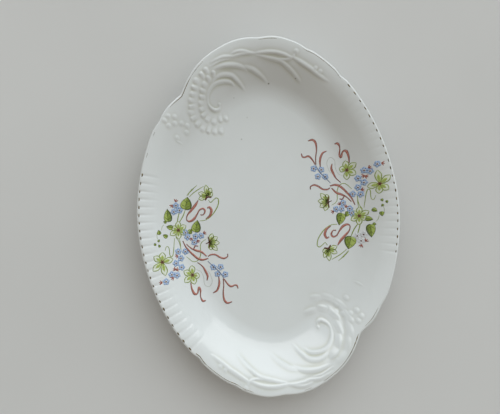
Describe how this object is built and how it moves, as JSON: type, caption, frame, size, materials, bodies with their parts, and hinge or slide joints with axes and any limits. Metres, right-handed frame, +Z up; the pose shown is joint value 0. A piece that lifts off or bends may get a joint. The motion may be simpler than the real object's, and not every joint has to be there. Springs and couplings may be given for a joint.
{
  "type": "oval platter",
  "caption": "Oval porcelain serving platter with a scalloped, fluted rim, moulded shell relief, printed flower sprays and a worn gilt line.",
  "frame": {"origin": "centre of the plane that the foot ring stands on", "axes": "+Z up out of the dish, +Y along the platter's length, +X across it"},
  "size_m": [0.256, 0.3466, 0.0364],
  "materials": {
    "porcelain": "glossy white glaze over porcelain",
    "gilt": "worn, darkened fired gold",
    "green_enamel": "fired on-glaze colour",
    "blue_enamel": "fired on-glaze colour",
    "red_enamel": "fired on-glaze colour"
  },
  "bodies": {
    "root": {"gilt_dabs_left": "gilt", "gilt_dabs_right": "gilt", "gilt_line_far_end": "gilt", "gilt_line_near_end": "gilt", "left_spray_blossoms_chain": "blue_enamel", "left_spray_blossoms_end": "blue_enamel", "left_spray_blossoms_middle": "blue_enamel", "left_spray_blossoms_top": "blue_enamel", "left_spray_greenery": "green_enamel", "left_spray_ribbon_bow": "red_enamel", "left_spray_ribbon_curl": "red_enamel", "left_spray_ribbon_hook": "red_enamel", "left_spray_ribbon_long_tails": "red_enamel", "left_spray_ribbon_middle_tail": "red_enamel", "left_spray_ribbon_short_tail": "red_enamel", "left_spray_ribbon_star_tail": "red_enamel", "porcelain_body": "porcelain", "right_spray_blossoms_chain": "blue_enamel", "right_spray_blossoms_end": "blue_enamel", "right_spray_blossoms_middle": "blue_enamel", "right_spray_blossoms_top": "blue_enamel", "right_spray_greenery": "green_enamel", "right_spray_ribbon_bow": "red_enamel", "right_spray_ribbon_curl": "red_enamel", "right_spray_ribbon_hook": "red_enamel", "right_spray_ribbon_long_tails": "red_enamel", "right_spray_ribbon_middle_tail": "red_enamel", "right_spray_ribbon_short_tail": "red_enamel", "right_spray_ribbon_star_tail": "red_enamel"}
  },
  "joints": []
}
